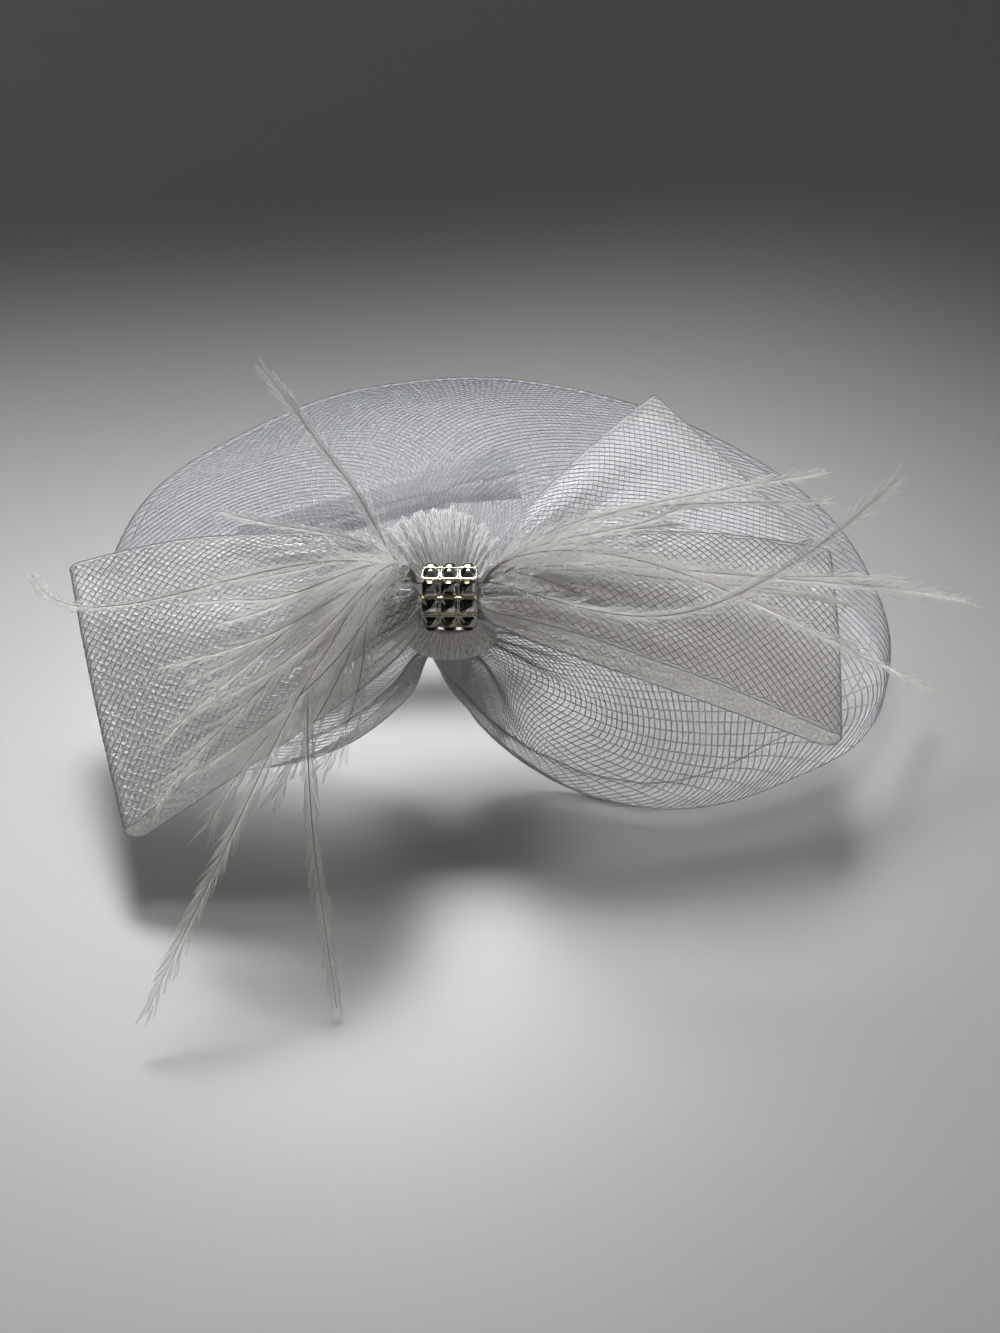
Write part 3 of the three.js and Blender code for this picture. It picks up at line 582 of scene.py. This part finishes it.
def loop_surface(row):
    """A loop's middle surface as lines across it: from the ring outwards on the upper layer, round the
    fold and back on the lower one. Each line runs along a width that grows from the slot's to the
    fold's, lifted by a crown, a half wave of belly, pleats that fade and a droop towards the edges."""
    back, front = loop_corners(row)
    end_half, end_centre = (back - front) / 2, (back + front) / 2
    slots = [share * ring_inner for share in row["slots"]]
    start = np.array([row["side"] * (ring_half + 2 * clearance), 0, knot_height + sum(slots) / 2])
    start_half = min(math.sqrt(ring_inner ** 2 - (abs(slot) + loop_wall / 2) ** 2) for slot in slots)
    start_half -= 2 * clearance
    outward = end_centre - start
    outward /= np.linalg.norm(outward)
    fold_normal = np.cross(end_half, outward)
    fold_normal *= np.sign(fold_normal[2]) / np.linalg.norm(fold_normal)
    start_apart = (slots[0] - slots[1]) / 2
    w = np.linspace(-1, 1, loop_across)[None, :, None]

    def lines(s, layer):
        s = np.asarray(s, float).reshape(-1, 1, 1)
        normal = mix(np.array([0.0, 0, 1]), fold_normal, ease(s * 2))
        normal /= np.linalg.norm(normal, axis=-1, keepdims=True)
        half = mix(np.array([0, start_half, 0]), end_half, s ** 0.6)
        swell = np.sin(np.pi * s ** 0.8)
        apart = mix(start_apart, loop_fold_radius, s) + loop_belly * row["belly"] * swell
        pleat = pleat_depth * np.cos(3 * np.pi * w) * np.sin(np.pi * np.sqrt(s)) ** 2
        fine = fine_depth * np.cos(13 * np.pi * w + layer) * np.sin(np.pi * s ** 0.28) ** 2 * (1 - s)
        crown, droop = loop_crown * row["crown"] * swell, loop_droop * row["droop"] * w * w * s
        lift = crown - droop + pleat + fine + layer * apart
        return mix(start, end_centre, s) + half * w + normal * lift

    def in_ring(slot):
        return np.concatenate([np.full_like(w, row["side"] * 2 * clearance), w * start_half,
                               np.full_like(w, knot_height + slot)], -1)

    s = np.linspace(0, 1, layer_steps)
    turn = (np.pi * np.arange(1, fold_steps) / fold_steps).reshape(-1, 1, 1)
    upper, lower = lines([1], 1), lines([1], -1)
    fold = mix((upper + lower) / 2, upper, np.cos(turn)) + outward * loop_fold_radius * np.sin(turn)
    return np.concatenate([in_ring(slots[0]), lines(s, 1), fold, lines(s[::-1], -1), in_ring(slots[1])])


def loop_threads(grid, width):
    """Every thread of a loop: it crosses the width at 45 degrees of the flat cloth, turns back at each
    selvedge and goes on, so its place across is a triangle wave of the length along the cloth."""
    middle = grid[:, grid.shape[1] // 2]
    along = np.concatenate([[0], np.cumsum(np.linalg.norm(np.diff(middle, axis=0), axis=-1))])
    count = int(2 * width / (diamond * math.sqrt(2)))
    phase = np.arange(count)[:, None] / count
    wave = (phase + along[None, :] / (2 * width)) % 1
    place = np.abs(2 * wave - 1) * (grid.shape[1] - 1)
    here = np.minimum(place.astype(int), grid.shape[1] - 2)
    part = (place - here)[..., None]
    row = np.arange(len(grid))[None, :]
    normals = grid_normals(grid)
    lay = np.where(wave < 0.5, 1, -1)[..., None]
    paths = grid[row, here] * (1 - part) + grid[row, here + 1] * part
    ways = normals[row, here] * (1 - part) + normals[row, here + 1] * part
    return paths + ways * lay * thread_radius * lay_share, ways


diamond = 1.75
thread_radius = 0.12
loop_selvedge_radius = 0.16
# The film lies this deep under the threads, and deeper near the ring, where fine pleats would pierce it.
film_inset = 0.18
film_deepest = 0.4
film_reach = 45
for name, row in loop_rows.items():
    grid = loop_surface(row)
    outward = grid_normals(grid)
    outward *= np.sign(outward[1:layer_steps, :, 2].mean())
    near_ring = np.clip(1 - np.abs(grid[..., :1]) / film_reach, 0, 1)
    inset = grid - outward * mix(film_inset, film_deepest, near_ring)
    film = smooth_shaded(new_piece(name + "_cloth", inset * mm + ground, [grid_faces(*grid.shape[:2])],
                                   loop_haze[name]))
    paths, normals = loop_threads(grid, row["width"])
    points, faces = tubes(paths, thread_radius, normals)
    threads = new_piece(name + "_threads", points * mm + ground, faces,
                        back_nylon if name == "loop_back" else loop_nylon)
    sides = np.stack([grid[:, 0], grid[:, -1]])
    side_normals = grid_normals(grid)[:, [0, -1]].swapaxes(0, 1)
    points, faces = tubes(sides, loop_selvedge_radius, side_normals, 5)
    selvedge = new_piece(name + "_selvedge", points * mm + ground, faces, body_nylon)
    for piece in (film, threads, selvedge):
        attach(piece, "fascinator")
    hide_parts(name)

# The ring. A strip of silvered metal seats, three across and ten round, is bent into a ring about the
# gathered cloth. Each seat holds a square foil-backed glass stone, with a gilt bead between the rows.
stone_pitch = 4.5
stone_columns = 3
stone_rows = 10
stone_count = stone_columns * stone_rows
stone_size = 4.1
stone_height = 1.2
table_share = 0.52
corner_cut = 0.6
strip_wall = 0.8
strip_apothem = stone_pitch / 2 / math.tan(math.pi / stone_rows)


def round_the_ring(shape, column):
    """A shape made over the top of the ring, copied to each of the ten flats about the X axis."""
    turn = 2 * np.pi * np.arange(stone_rows) / stone_rows
    x = shape[None, :, 0] + (column + 0.5) * stone_pitch - 1.5 * stone_pitch
    y, z = shape[None, :, 1], shape[None, :, 2] + strip_apothem
    c, s = np.cos(turn)[:, None], np.sin(turn)[:, None]
    return np.stack([x + 0 * c, y * c - z * s, y * s + z * c], -1)


def stacked_outlines(outlines, heights):
    """Points of outlines with equally many corners at rising heights, and their closed faces."""
    count = len(outlines[0])
    points = np.concatenate([np.column_stack([outline, np.full(count, height)])
                             for outline, height in zip(outlines, heights)])
    k = np.arange(count)
    level = np.arange(len(outlines) - 1)[:, None] * count
    after = (k + 1) % count
    quads = np.stack([level + k, level + after, level + count + after, level + count + k], -1)
    caps = np.stack([k[::-1], (len(outlines) - 1) * count + k])
    return points, [quads.reshape(-1, 4), caps]


half = stone_size / 2
cut = half - corner_cut
stone_outline = np.array([(half, cut), (cut, half), (-cut, half), (-half, cut),
                          (-half, -cut), (-cut, -half), (cut, -half), (half, -cut)])
stone_shape, stone_faces = stacked_outlines(
    [stone_outline * 0.96, stone_outline, stone_outline * 0.97, stone_outline * table_share],
    [-strip_wall / 2, 0, 0.18, stone_height])
# The foil's cross shows in the table as eight facets round a point.
table_ring = np.arange(24, 32)
stone_shape = np.concatenate([stone_shape, [[0, 0, stone_height + 0.3]]])
stone_faces = [stone_faces[0], stone_faces[1][:1],
               np.stack([table_ring, np.roll(table_ring, -1), np.full(8, 32)], -1)]
seat_outline = stone_outline * (stone_pitch / stone_size) * 0.995
seat_shape, seat_faces = stacked_outlines(
    [seat_outline, seat_outline, seat_outline * 0.985, seat_outline * 0.9],
    [-strip_wall, 0.05, 0.22, 0.26])


def repeated(shape, faces):
    """All thirty copies of a stone or a seat as one mesh."""
    points = np.concatenate([round_the_ring(shape, column) for column in range(stone_columns)])
    shift = np.arange(stone_count)[:, None, None] * len(shape)
    return points.reshape(-1, 3), [(part[None] + shift).reshape(-1, part.shape[1]) for part in faces]


foil_glass, foil_shader = new_material("foil_backed_glass", (0.62, 0.62, 0.58), 0.05, Metallic=1.0)
# The stones' base colour comes from the foil attribute, which holds painted reflection, from dark to pale
# facets.
reflection_attribute = add_node(foil_glass, "ShaderNodeAttribute", attribute_name="foil")
painted_reflection_colour = ramp(foil_glass, reflection_attribute.outputs["Fac"], (0.045, 0.042, 0.022), (0.93, 0.93, 0.9), 0.25, 0.8)
link(foil_glass, painted_reflection_colour, foil_shader.inputs["Base Color"])
uneven_gloss(foil_glass, foil_shader, 2200, 3, 0.02, 0.12)
seat_metal, seat_shader = new_material("silvered_seat", (0.78, 0.77, 0.72), 0.22, Metallic=1.0)
uneven_gloss(seat_metal, seat_shader, 1500, 3, 0.14, 0.36)
gilt, gilt_shader = new_material("gilt_bead", (0.83, 0.74, 0.35), 0.2, Metallic=1.0)
uneven_gloss(gilt, gilt_shader, 1200, 3, 0.12, 0.34)

stones_points, stones_faces = repeated(stone_shape, stone_faces)
stones = new_piece("band_stones", stones_points * mm + knot, stones_faces, foil_glass)
# Each facet's colour is painted reflection: pale where it leans down the ring to the front, as the bright
# table would show in it, and dark where it leans back, as the dim room would. The attribute named foil
# carries it.
reflection_chance = np.random.default_rng(5)
reflection_scatter = 0.16
facet_side = np.concatenate([np.tile(np.arange(8), 3), [0], np.arange(8)])
facet_angle = np.pi * (facet_side + 0.5) / 4
painted_reflection_lean = 0.5 - 0.42 * np.sin(facet_angle) + 0.2 * np.cos(facet_angle)
painted_reflection_lean[:24:3] = 0.5
painted_reflection_parts = np.split(painted_reflection_lean, [24, 25])
painted_reflection_value = np.concatenate([np.tile(part, stone_count) for part in painted_reflection_parts])
painted_reflection_value = painted_reflection_value + reflection_chance.normal(0, reflection_scatter, len(painted_reflection_value))
painted_reflection_layer = stones.data.attributes.new("foil", "FLOAT", "FACE")
painted_reflection_layer.data.foreach_set("value", painted_reflection_value.astype(np.float32))
seats_points, seats_faces = repeated(seat_shape, seat_faces)
seats = new_piece("band_seats", seats_points * mm + knot, seats_faces, seat_metal)
bead_turn = 2 * np.pi * (np.arange(stone_rows) + 0.5) / stone_rows
bead_radius = strip_apothem / math.cos(math.pi / stone_rows) + 0.18
bead_x = np.linspace(-ring_half, ring_half, 28)
bead_paths = np.stack(np.broadcast_arrays(bead_x[None, :], -np.sin(bead_turn)[:, None] * bead_radius,
                                          np.cos(bead_turn)[:, None] * bead_radius), -1)
bead_normals = bead_paths * [0, 1, 1]
bead_sizes = 0.2 + 0.05 * np.cos(np.arange(len(bead_x)) * np.pi)
points, faces = tubes(bead_paths, bead_sizes, bead_normals, 6)
beads = new_piece("band_beads", points * mm + knot, faces, gilt)
for piece in (stones, seats, beads):
    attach(piece, "fascinator")
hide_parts("rhinestone_band")

# The feathers. Thin stripped and downy feathers, off-white, are laid in two bundles whose quills are
# pushed into the ring. Each is a tapered shaft with fine barbs swept towards its tip.
feather_thickness = 1.1
feather_length = 110
feather_lift = 11
feather_sway = 20
vane_width = 6
feather_turn = 70
feather_waver = 0.9
head_slot = 0.7
# Each row: heading in degrees, then reach, tip, lift, sway and vane as shares of the sizes above, the
# tip's as a share of the knot's height, and the down near the quill.
feather_rows = {
    "feathers_left": np.array([
        (129.7, 0.55, 1.75, 0.2, -0.25, 0.8, 0.6), (159.5, 0.46, 1.25, 1, 0.2, 0.7, 1),
        (168.2, 0.96, 0.77, 1.87, 1.89, 0.7, 0.8), (188.7, 0.484, 1.08, 1.34, 0.79, 1, 1.2),
        (202, 0.57, 0.9, 1.08, 0.66, 1, 1.2), (221, 0.55, 0.94, 1.49, 0.62, 1, 1.2),
        (228.9, 0.746, 0.81, 0.6, 0.05, 1.2, 1.2), (224.7, 0.643, 0.685, 1.05, 0.72, 1, 1.2),
        (239.3, 0.987, 0.157, 0.8, 0.16, 0.8, 0.8), (261, 0.806, 0.03, 0.7, -0.64, 0.7, 0.8),
    ]),
    "feathers_right": np.array([
        (21.5, 0.86, 1.27, 0.82, 0.13, 0.8, 1), (17.9, 0.85, 1.13, 0.87, 0.31, 0.7, 1),
        (26.5, 0.57, 1.2, 1, -0.4, 0.7, 1), (-7.2, 0.834, 1.8, 0.6, -1.23, 1, 1),
        (8.6, 1.154, 0.693, 0.9, -0.63, 1.2, 1), (4.4, 1.067, 0.2, 1.8, -0.97, 1.5, 1),
    ]),
}
# The thinner strands that fill the bundles between the named feathers, in the same columns.
strand_rows = {
    "feathers_left": np.array([
        (192, 0.44, 0.95, 0.9, 0.3, 0.9, 1), (206, 0.54, 0.85, 1.0, 0.45, 1.1, 1),
        (214, 0.64, 0.74, 1.1, 0.3, 1.1, 1), (229, 0.64, 0.5, 1.1, 0.35, 1.2, 1),
        (235, 0.5, 0.5, 1.0, 0.25, 1.1, 1), (246, 0.42, 0.6, 1.0, 0.1, 1.0, 1.2),
        (178, 0.4, 1.05, 1, 0.3, 0.8, 1.2),
    ]),
    "feathers_right": np.array([
        (10, 0.66, 0.95, 0.6, -0.2, 0.8, 1), (-3, 0.52, 0.8, 0.5, -0.1, 0.9, 1.1),
        (22, 0.5, 1.15, 0.8, -0.1, 0.7, 1), (2, 0.84, 0.9, 0.6, -0.25, 0.8, 1),
        (-9, 0.4, 0.8, 0.5, -0.1, 0.8, 1.2), (5, 0.95, 0.95, 0.65, -0.3, 0.8, 1),
    ]),
}
tip_curl = 1.6
curl_start = 0.8
shaft_steps = 48
# The quills end this far from the ring's middle, inside it.
quill_depth = 2
tuft_spacing = 1.05
tuft_barbs = 3
barb_steps = 4
# A barb's length over half the vane's width, and what the down adds to it; the radii are at root and tip.
barb_share = 2.4
down_length = 2.6
barb_radii = (0.06, 0.036)
shaft_radii = (0.3, 0.06)
# How far a tuft's barbs draw together at their ends.
tuft_draw = 0.85
chance = np.random.default_rng(11)


def feather_path(row, side, t):
    """Points of a shaft at shares t of its way: a straight run along its heading, swayed to the left by
    a half wave, turned out of the ring first, rising by a half wave and falling with the square of t."""
    heading, reach, tip, lift, sway = row[:5]
    angle = math.radians(heading)
    along = np.array([math.cos(angle), math.sin(angle)])
    left = np.array([-along[1], along[0]])
    start_x = side * (ring_half + feather_thickness)
    start_z = knot_height + head_slot * ring_inner
    turn_out = feather_turn * (1 - side * along[0])
    flat = along * (feather_length * reach * t)[:, None]
    flat = flat + left * (feather_sway * sway * np.sin(np.pi * t))[:, None]
    x = start_x + flat[:, 0] + side * turn_out * t * (1 - t) ** 3
    z = mix(start_z, knot_height * tip, t * t) + feather_lift * lift * np.sin(np.pi * t ** 0.65)
    bends = [np.sin(9 * t + heading), np.cos(7 * t + heading), np.sin(8 * t + reach)]
    waver = feather_waver * t[:, None] * np.stack(bends, -1)
    hook = math.sin(5 * heading)
    curled = np.clip((t - curl_start) / (1 - curl_start), 0, 1) ** 2
    curl = tip_curl * curled[:, None] * np.append(hook * left, 0.3 * abs(hook))
    return np.stack([x, flat[:, 1], z], -1) + waver + curl


def unit(vectors):
    return vectors / np.maximum(np.linalg.norm(vectors, axis=-1, keepdims=True), 1e-12)


def barbs(row, side):
    """The barbs of one feather as tapered tubes: each leaves the shaft sideways and bends towards the tip,
    and those of a tuft draw together at their ends. The length grows from the quill and falls at the tip."""
    length = feather_length * row[1]
    tufts = int(length / tuft_spacing)
    count = tufts * tuft_barbs
    tuft = np.tile(np.repeat((np.arange(tufts) + 0.5) / tufts, tuft_barbs), 2)
    tuft = 0.05 + 0.945 * tuft
    inside = np.tile(np.linspace(-0.5, 0.5, tuft_barbs), 2 * tufts) * 0.95 / tufts
    t = np.clip(tuft + inside, 0.02, 0.998)
    hand = np.repeat([1.0, -1.0], count)
    base = feather_path(row, side, t)
    forward = unit(feather_path(row, side, t + 0.01) - feather_path(row, side, t - 0.01))
    across = unit(np.stack([-forward[:, 1], forward[:, 0], 0 * t], -1)) * hand[:, None]
    up = np.cross(forward, across) * hand[:, None]
    down = row[6] * np.clip(1 - t / 0.45, 0, 1)

    def by_tuft(low, high):
        return np.repeat(chance.uniform(low, high, 2 * tufts), tuft_barbs)

    vane = vane_width / 2 * row[5] * mix(0.6, 1, ease(t * 3)) * mix(0.7, 1, ease((1 - t) * 7))
    reach = (vane * barb_share + down_length * down) * by_tuft(0.75, 1.2)
    reach = reach * chance.uniform(0.85, 1.1, 2 * count)
    sweep = np.radians(by_tuft(20, 38) + 16 * down * chance.normal(0, 1, 2 * count))
    rise = by_tuft(-0.22, 0.22) + down * chance.normal(0, 0.5, 2 * count)
    s = np.linspace(0, 1, barb_steps)[None, :, None]
    bend = sweep[:, None, None] * (1.25 - 0.6 * s)
    step = np.cos(bend) * forward[:, None] + np.sin(bend) * across[:, None]
    step = step + (rise[:, None, None] * s) * up[:, None]
    paths = base[:, None] + step * s * reach[:, None, None]
    drawn = ((tuft - t) * (1 - down))[:, None, None] * length * forward[:, None] * (tuft_draw * s * s)
    radius = mix(*barb_radii, np.linspace(0, 1, barb_steps))[None, :] * np.ones((2 * count, 1))
    return paths + drawn, radius, np.broadcast_to(up[:, None], paths.shape)


barb_white, barb_shader = new_material("feather_barbs", (0.83, 0.81, 0.76), 0.7, Subsurface_Weight=0.6,
                                       Subsurface_Scale=0.001, Subsurface_Radius=(1.0, 0.95, 0.9))
whole_barb = add_node(barb_white, "ShaderNodeValue")
whole_barb.outputs[0].default_value = 1.0
link(barb_white, lighter_shadow(barb_white, whole_barb.outputs[0], 0.25), barb_shader.inputs["Alpha"])
barb_cloud = patches(barb_white, 120, 4).outputs["Grain"]
barb_colour = ramp(barb_white, barb_cloud, (0.58, 0.565, 0.53), (0.74, 0.73, 0.69), 0.3, 0.7)
link(barb_white, barb_colour, barb_shader.inputs["Base Color"])
shaft_horn, shaft_shader = new_material("feather_shafts", (0.4, 0.38, 0.35), 0.4)
shaft_cloud = patches(shaft_horn, 80, 3).outputs["Grain"]
shaft_colour = ramp(shaft_horn, shaft_cloud, (0.1, 0.092, 0.084), (0.42, 0.4, 0.37))
link(shaft_horn, shaft_colour, shaft_shader.inputs["Base Color"])

for name, rows in feather_rows.items():
    side = -1 if name.endswith("left") else 1
    rows = np.concatenate([rows, strand_rows[name]])
    t = np.linspace(0, 1, shaft_steps)
    shafts = np.stack([feather_path(row, side, t) for row in rows])
    quill_end = shafts[:, :1].copy()
    quill_end[..., 0] = side * quill_depth
    shafts = np.concatenate([quill_end, shafts], 1)
    thick = np.concatenate([shaft_radii[:1], mix(*shaft_radii, t ** 0.8)])[None, :]
    points, faces = tubes(shafts, thick, np.zeros_like(shafts) + [0, 0, 1], 5)
    shaft_piece = smooth_shaded(new_piece(name + "_shafts", points * mm + ground, faces, shaft_horn))
    points, faces = joined([tubes(*barbs(row, side)) for row in rows])
    barb_piece = new_piece(name + "_barbs", points * mm + ground, faces, barb_white)
    for piece in (shaft_piece, barb_piece):
        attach(piece, "fascinator")
    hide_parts(name)

# The hair clip. A sprung two-armed clip of pressed steel is sewn under the dome's roof; its jaw
# turns on a pin between two ears. Its near-black colour is painted shade, for the shade it lies in under
# the roof, and it shows dimly through the mesh.
# The near-black base colour is painted shade.
clip_steel, clip_shader = new_material("shade_painted_steel", (0.05, 0.052, 0.06), 0.45, Metallic=0.6)
clip_grain = patches(clip_steel, 700, 5, 0.28, 0.55)
link(clip_steel, clip_grain.outputs["Value"], clip_shader.inputs["Roughness"])
clip_bump = add_node(clip_steel, "ShaderNodeBump",
                     {"Height": clip_grain.outputs["Grain"], "Strength": 0.15, "Distance": 0.0002})
link(clip_steel, clip_bump.outputs["Normal"], clip_shader.inputs["Normal"])
for name in ("clip_base", "clip_jaw", "clip_pin"):
    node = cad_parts[name]
    node.data.materials.clear()
    node.data.materials.append(clip_steel)
